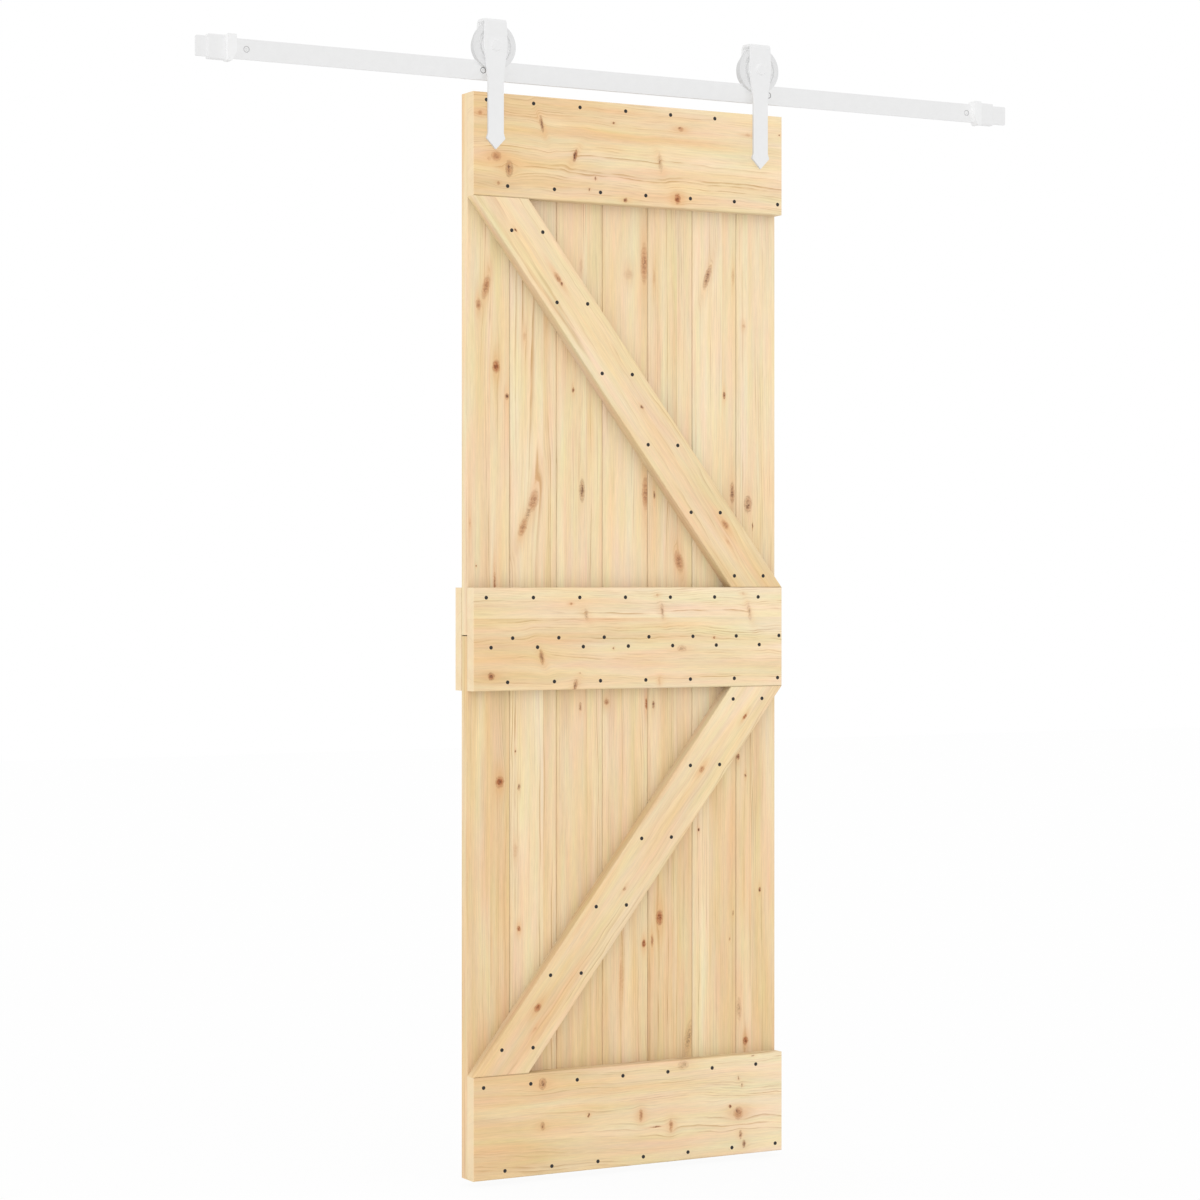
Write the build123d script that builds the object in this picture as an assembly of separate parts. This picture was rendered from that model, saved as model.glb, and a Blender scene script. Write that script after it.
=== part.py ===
from build123d import *
import math
import os

# Sliding plank door on a flat wall track, in millimetres.
# +X runs along the track to the right as seen from the front, -Y faces the
# viewer and +Z is up. The wall is the plane y = 0. The origin is the centre of
# the left inner spacer's wall face, half way up the track bar.

# Door leaf
door_width = 700.0
door_height = 2100.0
board_thickness = 25.0
board_cover = 103.0
board_count = 7
board_gap = 0.4
board_joint_height = 1051.0
board_joint_gap = 2.0
tongue_length = 6.0
tongue_thickness = 8.0
tongue_clearance = 0.3
seam_bevel = 1.5
rail_height = 200.0
rail_thickness = 28.0
middle_rail_centre = 1044.0
brace_end = 120.0
rail_round = 3.0

# Track
bar_length = 1830.0
bar_height = 38.0
bar_thickness = 6.0
bar_corner = 2.0
outer_hole_inset = 100.0
inner_hole_spacing = 648.0
bolt_hole_radius = 4.1
countersink_radius = 6.25
countersink_depth = 2.2
spacer_length = 75.0
spacer_radius = 6.0

# End stops
stop_wall = 4.0
stop_fit = 0.2
stop_clearance = 5.0
clamp_length = 36.0
clamp_bevel = 1.5
bumper_length = 18.0
bumper_height = 50.0
bumper_nose = 12.0
bumper_cut_length = 9.0
bumper_cut_height = 18.0
bumper_round = 2.0
left_stop_inset = 76.0
right_stop_inset = 88.0

# Wheels
rail_play = 0.3
groove_radius = 28.0
groove_width = 8.0
wheel_width = 24.0
front_flange_radius = 46.0
rear_flange_radius = 39.0
rim_depth = 10.5
face_recess = 4.5
hub_radius = 28.0
hub_play = 0.3
axle_radius = 4.0
bore_play = 0.1

# Hangers
left_hanger_inset = 46.0
right_hanger_inset = 54.0
door_top_gap = 24.0
strap_thickness = 5.0
strap_bend = 4.0
leg_gap = 27.0
wheel_top_gap = 1.5
head_width = 46.0
waist_width = 49.0
strap_width = 33.5
waist_end_drop = 6.0
strap_on_door = 110.0
arrow_width = 40.0
arrow_height = 21.0
arrow_flare = 10.0
axle_head_radius = 11.5
axle_head_height = 3.0
axle_head_slope = 2.0
nut_width = 13.0
nut_height = 6.5
axle_end = 2.0

# Places along X
track_centre_x = inner_hole_spacing / 2
bar_left_x = track_centre_x - bar_length / 2
bar_right_x = track_centre_x + bar_length / 2
door_left_x = track_centre_x - door_width / 2
door_right_x = track_centre_x + door_width / 2
outer_hole_spacing = bar_length - 2 * outer_hole_inset
hole_places = {
    "outer_left": track_centre_x - outer_hole_spacing / 2,
    "inner_left": track_centre_x - inner_hole_spacing / 2,
    "inner_right": track_centre_x + inner_hole_spacing / 2,
    "outer_right": track_centre_x + outer_hole_spacing / 2,
}
hanger_places = {
    "left": door_left_x + left_hanger_inset,
    "right": door_right_x - right_hanger_inset,
}

# Places along Y, from the wall out to the viewer
bar_back_y = -spacer_length
bar_front_y = bar_back_y - bar_thickness
track_mid_y = bar_back_y - bar_thickness / 2
door_front_y = track_mid_y - leg_gap / 2
board_front_y = door_front_y + rail_thickness
board_back_y = board_front_y + board_thickness
strap_front_y = door_front_y - strap_thickness
rear_leg_y = track_mid_y + leg_gap / 2
strap_back_y = rear_leg_y + strap_thickness

# Heights
bar_top_z = bar_height / 2
bar_bottom_z = -bar_height / 2
axle_z = bar_top_z + rail_play + groove_radius
hanger_inner_z = axle_z + front_flange_radius + wheel_top_gap
hanger_top_z = hanger_inner_z + strap_thickness
door_top_z = bar_bottom_z - door_top_gap
door_foot_z = door_top_z - door_height
board_joint_z = door_foot_z + board_joint_height
strap_tip_z = door_top_z - strap_on_door

rail_feet = {
    "bottom_rail": door_foot_z,
    "middle_rail": door_foot_z + middle_rail_centre - rail_height / 2,
    "top_rail": door_top_z - rail_height,
}


def block(low, high):
    # A box given by its lowest and highest corners.
    size = [b - a for a, b in zip(low, high)]
    middle = [(a + b) / 2 for a, b in zip(low, high)]
    return Pos(*middle) * Box(*size)


def plate(points, front_y, thickness):
    # A flat plate cut to an outline of (x, z) points and standing behind front_y.
    outline = Polyline([(x, front_y, z) for x, z in points], close=True)
    return extrude(make_face(outline), amount=thickness, dir=(0, 1, 0))


def round_front(piece):
    # Rounds the edges of the face that looks at the viewer.
    return fillet(piece.faces().sort_by(Axis.Y)[0].edges(), rail_round)


def board_edges():
    # Board boundaries from left to right. The two outer boards take what is left over.
    outer_cover = (door_width - (board_count - 2) * board_cover) / 2
    edges = [door_left_x]
    for index in range(board_count - 1):
        edges.append(door_left_x + outer_cover + index * board_cover)
    edges.append(door_right_x)
    return edges


def board_section(left, right, groove, tongue):
    # Cross-section of one board: bevelled corners, a groove on its left side and
    # a tongue on its right side.
    middle = (board_front_y + board_back_y) / 2
    half_tongue = tongue_thickness / 2
    half_groove = half_tongue + tongue_clearance
    groove_depth = tongue_length + tongue_clearance
    points = [
        (left, board_front_y + seam_bevel),
        (left + seam_bevel, board_front_y),
        (right - seam_bevel, board_front_y),
        (right, board_front_y + seam_bevel),
    ]
    if tongue:
        points.append((right, middle - half_tongue))
        points.append((right + tongue_length, middle - half_tongue))
        points.append((right + tongue_length, middle + half_tongue))
        points.append((right, middle + half_tongue))
    points.append((right, board_back_y - seam_bevel))
    points.append((right - seam_bevel, board_back_y))
    points.append((left + seam_bevel, board_back_y))
    points.append((left, board_back_y - seam_bevel))
    if groove:
        points.append((left, middle + half_groove))
        points.append((left + groove_depth, middle + half_groove))
        points.append((left + groove_depth, middle - half_groove))
        points.append((left, middle - half_groove))
    return points


def make_board(index, foot_z, top_z):
    edges = board_edges()
    first = index == 0
    last = index == board_count - 1
    left = edges[index] + (0 if first else board_gap / 2)
    right = edges[index + 1] - (0 if last else board_gap / 2)
    points = board_section(left, right, groove=not first, tongue=not last)
    outline = Polyline([(x, y, foot_z) for x, y in points], close=True)
    return extrude(make_face(outline), amount=top_z - foot_z, dir=(0, 0, 1))


def make_rail(foot_z):
    rail = block(
        (door_left_x, door_front_y, foot_z),
        (door_right_x, board_front_y, foot_z + rail_height),
    )
    return round_front(rail)


def make_back_rail():
    # The batten across the boards' joint on the wall side.
    foot_z = rail_feet["middle_rail"]
    rail = block(
        (door_left_x, board_back_y, foot_z),
        (door_right_x, board_back_y + rail_thickness, foot_z + rail_height),
    )
    return fillet(rail.faces().sort_by(Axis.Y)[-1].edges(), rail_round)


def make_upper_brace():
    # From the top rail's left end down to the middle rail's right end.
    top_z = rail_feet["top_rail"]
    foot_z = rail_feet["middle_rail"] + rail_height
    points = [
        (door_left_x, top_z),
        (door_left_x + brace_end, top_z),
        (door_right_x, foot_z),
        (door_right_x - brace_end, foot_z),
    ]
    return round_front(plate(points, door_front_y, rail_thickness))


def make_lower_brace():
    # From the middle rail's right end down to the bottom rail's left end.
    top_z = rail_feet["middle_rail"]
    foot_z = rail_feet["bottom_rail"] + rail_height
    points = [
        (door_right_x, top_z),
        (door_right_x - brace_end, top_z),
        (door_left_x, foot_z),
        (door_left_x + brace_end, foot_z),
    ]
    return round_front(plate(points, door_front_y, rail_thickness))


def along_y(radius, front_y, back_y, x, z):
    # A round bar along Y.
    length = back_y - front_y
    turn = Rotation(90, 0, 0)
    return Pos(x, (front_y + back_y) / 2, z) * turn * Cylinder(radius, length)


def make_bar():
    bar = block(
        (bar_left_x, bar_front_y, bar_bottom_z),
        (bar_right_x, bar_back_y, bar_top_z),
    )
    bar = fillet(bar.edges().filter_by(Axis.Y), bar_corner)
    for x in hole_places.values():
        bar -= along_y(bolt_hole_radius, bar_front_y, bar_back_y, x, 0)
        bar -= countersink(x)
    return bar


def countersink(x):
    # The tapered seat of a flat-headed bolt in the bar's front face.
    profile = Polyline(
        [
            (0, 0),
            (countersink_radius, 0),
            (bolt_hole_radius, countersink_depth),
            (0, countersink_depth),
        ],
        close=True,
    )
    seat = revolve(make_face(profile), Axis.Y)
    return Pos(x, bar_front_y, 0) * seat


def make_spacer(x):
    tube = along_y(spacer_radius, bar_back_y, 0, x, 0)
    return tube - along_y(bolt_hole_radius, bar_back_y, 0, x, 0)


def bar_slot(start_x, end_x):
    # The room that the bar needs inside a stop.
    return block(
        (start_x, bar_front_y - stop_fit, bar_bottom_z - stop_fit),
        (end_x, bar_back_y + stop_fit, bar_top_z + stop_fit),
    )


def make_clamp(face_x, outward):
    # A sleeve round the bar, outside the bumper. outward is -1 on the left, 1 on the right.
    near_x = face_x + outward * bumper_length
    far_x = near_x + outward * clamp_length
    start_x = min(near_x, far_x)
    end_x = max(near_x, far_x)
    sleeve = block(
        (start_x, bar_front_y - stop_wall, bar_bottom_z - stop_wall),
        (end_x, bar_back_y + stop_wall, bar_top_z + stop_wall),
    )
    sleeve = chamfer(sleeve.edges(), clamp_bevel)
    return sleeve - bar_slot(start_x, end_x)


def make_bumper(face_x, outward):
    # A block round the bar with a nose to the front, cut away below on its inner face.
    far_x = face_x + outward * bumper_length
    half = bumper_height / 2
    points = [
        (face_x, half),
        (far_x, half),
        (far_x, -half),
        (face_x + outward * bumper_cut_length, -half),
        (face_x, -half + bumper_cut_height),
    ]
    depth = bumper_nose + bar_thickness + stop_wall
    bumper = plate(points, bar_front_y - bumper_nose, depth)
    bumper = fillet(bumper.edges().filter_by(Axis.Y), bumper_round)
    return bumper - bar_slot(min(face_x, far_x), max(face_x, far_x))


def wheel_profile():
    # Half section of the wheel as (radius, y) points, y counted from its mid-plane:
    # hub, ring groove and rim in front, the groove for the bar, and a plain back.
    front_face = -wheel_width / 2
    recess_floor = front_face + face_recess
    hub_face = leg_gap / 2 - hub_play
    half_groove = groove_width / 2
    rim_inner = front_flange_radius - rim_depth
    bore = axle_radius + bore_play
    return [
        (bore, -hub_face),
        (hub_radius, -hub_face),
        (hub_radius, recess_floor),
        (rim_inner, recess_floor),
        (rim_inner, front_face),
        (front_flange_radius, front_face),
        (front_flange_radius, -half_groove),
        (groove_radius, -half_groove),
        (groove_radius, half_groove),
        (rear_flange_radius, half_groove),
        (rear_flange_radius, hub_face),
        (bore, hub_face),
    ]


def make_wheel(x):
    # A grooved wheel turned about the axle.
    section = make_face(Polyline(wheel_profile(), close=True))
    return Pos(x, track_mid_y, axle_z) * revolve(section, Axis.Y)


def arrow_face(x, y):
    # Outline of the front leg: head beside the wheel, waist, narrow strap, arrow point.
    waist_z = bar_bottom_z - waist_end_drop
    shoulder_z = strap_tip_z + arrow_height
    half_head = head_width / 2
    half_waist = waist_width / 2
    half_strap = strap_width / 2
    half_arrow = arrow_width / 2
    right_side = Spline(
        (x + half_head, y, hanger_top_z),
        (x + half_waist, y, axle_z),
        (x + half_strap, y, waist_z),
        tangents=[(0, 0, -1), (0, 0, -1)],
    )
    lower = Polyline(
        (x + half_strap, y, waist_z),
        (x + half_strap, y, shoulder_z + arrow_flare),
        (x + half_arrow, y, shoulder_z),
        (x, y, strap_tip_z),
        (x - half_arrow, y, shoulder_z),
        (x - half_strap, y, shoulder_z + arrow_flare),
        (x - half_strap, y, waist_z),
    )
    left_side = Spline(
        (x - half_strap, y, waist_z),
        (x - half_waist, y, axle_z),
        (x - half_head, y, hanger_top_z),
        tangents=[(0, 0, 1), (0, 0, 1)],
    )
    top = Line((x - half_head, y, hanger_top_z), (x + half_head, y, hanger_top_z))
    return make_face(Curve() + [right_side, lower, left_side, top])


def make_hanger(x):
    # A flat bar bent over the wheel: a long front leg on the door and a short rear leg.
    reach = waist_width
    outside = block(
        (x - reach, strap_front_y, strap_tip_z),
        (x + reach, strap_back_y, hanger_top_z),
    )
    top_edges = outside.edges().filter_by(Axis.X).group_by(Axis.Z)[-1]
    outside = fillet(top_edges, strap_bend + strap_thickness)
    inside = block(
        (x - reach, door_front_y, strap_tip_z),
        (x + reach, rear_leg_y, hanger_inner_z),
    )
    bend_edges = inside.edges().filter_by(Axis.X).group_by(Axis.Z)[-1]
    inside = fillet(bend_edges, strap_bend)
    bent_bar = outside - inside
    front = extrude(
        arrow_face(x, strap_front_y),
        amount=track_mid_y - strap_front_y,
        dir=(0, 1, 0),
    )
    hanger = bent_bar & (front + rear_outline(x))
    return hanger - along_y(axle_radius + bore_play, strap_front_y, strap_back_y, x, axle_z)


def rear_outline(x):
    # Outline of the rear leg: as wide as the head, with a round end about the axle.
    end_radius = waist_width / 2
    upright = block(
        (x - waist_width, track_mid_y, axle_z),
        (x + waist_width, strap_back_y, hanger_top_z),
    )
    taper = extrude(
        arrow_face(x, track_mid_y),
        amount=strap_back_y - track_mid_y,
        dir=(0, 1, 0),
    )
    return (upright & taper) + along_y(end_radius, track_mid_y, strap_back_y, x, axle_z)


def make_axle(x):
    # The wheel's bolt: a low round head in front, the shank, and its end past the nut.
    length = strap_back_y + nut_height + axle_end - strap_front_y
    profile = Polyline(
        [
            (0, -axle_head_height),
            (axle_head_radius - axle_head_slope, -axle_head_height),
            (axle_head_radius, 0),
            (axle_radius, 0),
            (axle_radius, length),
            (0, length),
        ],
        close=True,
    )
    return Pos(x, strap_front_y, axle_z) * revolve(make_face(profile), Axis.Y)


def make_nut(x):
    # A hexagon nut behind the rear leg.
    flat = RegularPolygon(nut_width / 2, 6, major_radius=False)
    nut = extrude(flat, amount=nut_height)
    nut = Pos(x, strap_back_y + nut_height, axle_z) * Rotation(90, 0, 0) * nut
    bore = along_y(axle_radius + bore_play, strap_back_y, strap_back_y + nut_height, x, axle_z)
    return nut - bore


def build_pieces():
    pieces = {"track_bar": make_bar()}
    for name, x in hole_places.items():
        pieces[f"{name}_spacer"] = make_spacer(x)
    left_face_x = bar_left_x + left_stop_inset
    right_face_x = bar_right_x - right_stop_inset
    for side, face_x, outward in (("left", left_face_x, -1), ("right", right_face_x, 1)):
        pieces[f"{side}_stop_clamp"] = make_clamp(face_x, outward)
        pieces[f"{side}_stop_bumper"] = make_bumper(face_x, outward)
    joint_top_z = board_joint_z + board_joint_gap / 2
    joint_foot_z = board_joint_z - board_joint_gap / 2
    for index in range(board_count):
        pieces[f"upper_board_{index + 1}"] = make_board(index, joint_top_z, door_top_z)
        pieces[f"lower_board_{index + 1}"] = make_board(index, door_foot_z, joint_foot_z)
    for name, foot_z in rail_feet.items():
        pieces[name] = make_rail(foot_z)
    pieces["back_rail"] = make_back_rail()
    pieces["upper_brace"] = make_upper_brace()
    pieces["lower_brace"] = make_lower_brace()
    for side, x in hanger_places.items():
        pieces[f"{side}_hanger"] = make_hanger(x)
        pieces[f"{side}_axle"] = make_axle(x)
        pieces[f"{side}_axle_nut"] = make_nut(x)
        pieces[f"{side}_wheel"] = make_wheel(x)
    return pieces


def travel_limits():
    # How far the door slides each way, with the front flange just short of a bumper.
    chord_z = axle_z - bumper_height / 2
    reach = math.sqrt(front_flange_radius**2 - chord_z**2) + stop_clearance
    left = bar_left_x + left_stop_inset + reach - hanger_places["left"]
    right = bar_right_x - right_stop_inset - reach - hanger_places["right"]
    return left, right


os.makedirs("parts", exist_ok=True)
for name, piece in build_pieces().items():
    solid = piece.solids()[0] if len(piece.solids()) == 1 else piece
    export_step(solid, f"parts/{name}.step")
print("axle height", axle_z, "travel", travel_limits())
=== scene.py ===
import math
import bpy
import numpy as np
from mathutils import Matrix, Vector


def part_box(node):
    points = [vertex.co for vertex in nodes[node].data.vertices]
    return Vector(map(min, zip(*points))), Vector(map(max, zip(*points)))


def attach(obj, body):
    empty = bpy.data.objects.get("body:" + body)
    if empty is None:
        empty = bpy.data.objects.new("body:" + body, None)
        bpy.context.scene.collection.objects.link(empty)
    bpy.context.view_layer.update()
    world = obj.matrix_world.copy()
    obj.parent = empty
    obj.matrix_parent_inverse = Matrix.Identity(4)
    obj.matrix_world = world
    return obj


# Pine plank door on a white flat track. Metres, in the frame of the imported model.
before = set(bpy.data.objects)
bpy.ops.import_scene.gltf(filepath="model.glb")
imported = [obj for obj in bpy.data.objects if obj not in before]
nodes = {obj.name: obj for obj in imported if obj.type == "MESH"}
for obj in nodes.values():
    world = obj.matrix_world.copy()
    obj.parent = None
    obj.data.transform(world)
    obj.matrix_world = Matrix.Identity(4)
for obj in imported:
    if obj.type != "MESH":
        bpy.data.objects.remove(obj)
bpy.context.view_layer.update()        # the nodes now sit in the frame of the imported model
mm = 0.001
leafLeft, leafFront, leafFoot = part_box("bottom_rail")[0]    # the leaf's lower left front corner
print("stage: frame loaded,", len(nodes), "nodes")


# Shader helpers

def put(tree, value, socket):
    # A socket is linked; a number or a list of numbers is written on the socket itself.
    if isinstance(value, bpy.types.NodeSocket):
        tree.links.new(value, socket)
    else:
        socket.default_value = value


def calc(tree, operation, *values, clamp=False):
    # One step of arithmetic.
    node = tree.nodes.new("ShaderNodeMath")
    node.operation = operation
    node.use_clamp = clamp
    for value, socket in zip(values, node.inputs):
        put(tree, value, socket)
    return node.outputs[0]


def rise(tree, value, low, high):
    # 0 below low, 1 above high and a smooth climb between; low above high turns it round.
    node = tree.nodes.new("ShaderNodeMapRange")
    node.interpolation_type = "SMOOTHSTEP"
    put(tree, value, node.inputs["Value"])
    falling = low > high
    node.inputs["From Min"].default_value = min(low, high)
    node.inputs["From Max"].default_value = max(low, high)
    node.inputs["To Min"].default_value = 1.0 if falling else 0.0
    node.inputs["To Max"].default_value = 0.0 if falling else 1.0
    return node.outputs["Result"]


def split(tree, vector):
    node = tree.nodes.new("ShaderNodeSeparateXYZ")
    put(tree, vector, node.inputs[0])
    return node.outputs


def join(tree, x, y, z):
    node = tree.nodes.new("ShaderNodeCombineXYZ")
    for value, socket in zip((x, y, z), node.inputs):
        put(tree, value, socket)
    return node.outputs[0]


def stretch(tree, vector, factors):
    # Each coordinate times its own factor.
    node = tree.nodes.new("ShaderNodeVectorMath")
    node.operation = "MULTIPLY"
    put(tree, vector, node.inputs[0])
    node.inputs[1].default_value = factors
    return node.outputs[0]


def cloud(tree, vector, detail=2.0, roughness=0.5, scale=1.0):
    # Noise from 0 to 1, mostly near 0.5.
    node = tree.nodes.new("ShaderNodeTexNoise")
    put(tree, vector, node.inputs["Vector"])
    node.inputs["Scale"].default_value = scale
    node.inputs["Detail"].default_value = detail
    node.inputs["Roughness"].default_value = roughness
    return node.outputs[0]


def blendColour(tree, share, first, second, kind="MIX"):
    node = tree.nodes.new("ShaderNodeMix")
    node.data_type = "RGBA"
    node.blend_type = kind
    put(tree, share, node.inputs[0])
    put(tree, first, node.inputs[6])
    put(tree, second, node.inputs[7])
    return node.outputs[2]


def newGroup(name, inputs, outputs):
    # An empty shader group. inputs and outputs are (name, kind) pairs.
    tree = bpy.data.node_groups.new(name, "ShaderNodeTree")
    for label, kind in inputs:
        tree.interface.new_socket(name=label, in_out="INPUT", socket_type="NodeSocket" + kind)
    for label, kind in outputs:
        tree.interface.new_socket(name=label, in_out="OUTPUT", socket_type="NodeSocket" + kind)
    return tree, tree.nodes.new("NodeGroupInput").outputs, tree.nodes.new("NodeGroupOutput").inputs


def useGroup(tree, group, **values):
    # Places a group and writes or links its inputs by name, with _ for a space.
    node = tree.nodes.new("ShaderNodeGroup")
    node.node_tree = group
    for label, value in values.items():
        put(tree, value, node.inputs[label.replace("_", " ")])
    return node.outputs


def srgb(red, green, blue):
    # A colour as a paint chart gives it, 0 to 255, turned into linear light.
    parts = np.array((red, green, blue)) / 255
    linear = np.where(parts <= 0.04045, parts / 12.92, ((parts + 0.055) / 1.055) ** 2.4)
    return (*linear.tolist(), 1.0)


def newMaterial(name):
    material = bpy.data.materials.new(name)
    material.use_nodes = True
    return material, material.node_tree, material.node_tree.nodes["Principled BSDF"]


def greyOf(tree, value):
    # The same value in red, green and blue.
    node = tree.nodes.new("ShaderNodeCombineColor")
    for socket in node.inputs[:3]:
        put(tree, value, socket)
    return node.outputs[0]


def bumped(tree, shader, height, strength, depth):
    # Height becomes a bump on the shader, with its depth in millimetres.
    node = tree.nodes.new("ShaderNodeBump")
    node.inputs["Strength"].default_value = strength
    node.inputs["Distance"].default_value = depth * mm
    tree.links.new(height, node.inputs["Height"])
    tree.links.new(node.outputs[0], shader.inputs["Normal"])


def scatteredRays(tree):
    # 1 for light that goes from this surface to a neighbour, and 0 for what is seen.
    return tree.nodes.new("ShaderNodeLightPath").outputs["Is Diffuse Ray"]


def dress(name, material):
    # The node's own material gives way to this one.
    nodes[name].data.materials.clear()
    nodes[name].data.materials.append(material)


# Wood groups. They all read millimetres: x along the grain, y across the face, z through it.

knotShape = {                            # distances from its centre are in half-sizes of the knot
    "body": (1.35, 0.45),                # red grows from the first distance to the second
    "core": (1.0, 0.05),                 # so does the dark heart
    "rimInside": (0.6, 0.95),            # and the bark ring, up from inside
    "rimOutside": (1.25, 0.95),          # and up from outside
    "rimShare": 0.3,
    "rings": 0.8,                        # width of the knot's own rings in millimetres
    "ringShare": 0.35,
    "haloAlong": 0.10,                   # how fast the resin tint fades along and across the grain
    "haloAcross": 0.45,
    "pushAlong": 0.16,                   # how fast the push on the grain fades along it
    "pushCentre": 0.45,                  # keeps the push even at the centre
}


def makeKnotGroup():
    # One knot: distance d from its centre in half-sizes gives the body, its rim and a halo
    # along the grain, and the grain lines are pushed aside as water flows round a stone.
    shape = knotShape
    inputs = [("Place", "Vector"), ("Along", "Float"), ("Across", "Float"),
              ("Half length", "Float"), ("Half width", "Float"), ("Slope", "Float"),
              ("Red", "Float"), ("Dark", "Float"), ("Glow", "Float"), ("Bend", "Float"),
              ("Shift in", "Float"), ("Red in", "Float"), ("Dark in", "Float"), ("Glow in", "Float")]
    outputs = [("Shift", "Float"), ("Red", "Float"), ("Dark", "Float"), ("Glow", "Float")]
    tree, given, result = newGroup("knot", inputs, outputs)
    x, y, _ = split(tree, given["Place"])
    along = calc(tree, "SUBTRACT", x, given["Along"])
    across = calc(tree, "SUBTRACT", y, given["Across"])
    leaned = calc(tree, "SUBTRACT", across, calc(tree, "MULTIPLY", along, given["Slope"]))
    u = calc(tree, "DIVIDE", along, given["Half length"])
    v = calc(tree, "DIVIDE", leaned, given["Half width"])
    uu = calc(tree, "MULTIPLY", u, u)
    vv = calc(tree, "MULTIPLY", v, v)
    d = calc(tree, "SQRT", calc(tree, "ADD", uu, vv))
    body = rise(tree, d, *shape["body"])
    core = rise(tree, d, *shape["core"])
    rim = calc(tree, "MULTIPLY", rise(tree, d, *shape["rimInside"]), rise(tree, d, *shape["rimOutside"]))
    rings = calc(tree, "PINGPONG", calc(tree, "MULTIPLY", d, given["Half width"]), shape["rings"])
    inner = calc(tree, "MULTIPLY", calc(tree, "MULTIPLY", body, rings), shape["ringShare"])
    bark = calc(tree, "MULTIPLY", rim, shape["rimShare"])
    shade = calc(tree, "MAXIMUM", calc(tree, "MAXIMUM", core, bark), inner)
    fadeAcross = calc(tree, "MULTIPLY", vv, shape["haloAcross"])
    reach = calc(tree, "ADD", calc(tree, "MULTIPLY", uu, shape["haloAlong"]), fadeAcross)
    halo = calc(tree, "EXPONENT", calc(tree, "MULTIPLY", reach, -1.0))
    fromCentre = calc(tree, "ADD", vv, shape["pushCentre"])
    spread = calc(tree, "ADD", calc(tree, "MULTIPLY", uu, shape["pushAlong"]), fromCentre)
    push = calc(tree, "DIVIDE", calc(tree, "MULTIPLY", leaned, given["Bend"]), spread)
    put(tree, calc(tree, "SUBTRACT", given["Shift in"], push), result["Shift"])
    for label, mask in (("Red", body), ("Dark", shade), ("Glow", halo)):
        own = calc(tree, "MULTIPLY", mask, given[label])
        put(tree, calc(tree, "MAXIMUM", given[label + " in"], own), result[label])
    return tree


ringShape = {                            # scales are per millimetre: along, across, through
    "slowWander": (0.0035, 0.008, 0.008),
    "quickWander": (0.016, 0.035, 0.035),
    "quickShare": 0.22,
    "unevenPace": 0.37,                  # noise per year that makes wide and narrow years
    "uneven": 1.6,
    "climb": 2.2,                        # power of the slow climb through the spring wood
    "drop": (1.0, 0.86),                 # share of the year in which the autumn line ends
    "yearPower": 2.0,
    "year": (1.05, 0.15),                # strength of a year: gain and floor
    "bundlePace": (0.26, 0.0016),        # noise per year and per millimetre along
    "bundleEdges": (0.38, 0.66),
    "bundle": (1.15, 0.3),
    "fadeAcross": 0.10,
    "fadeEdges": (0.36, 0.64),
    "fade": (1.15, 0.2),
    "bandPace": (0.16, 0.0009),
}


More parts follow.
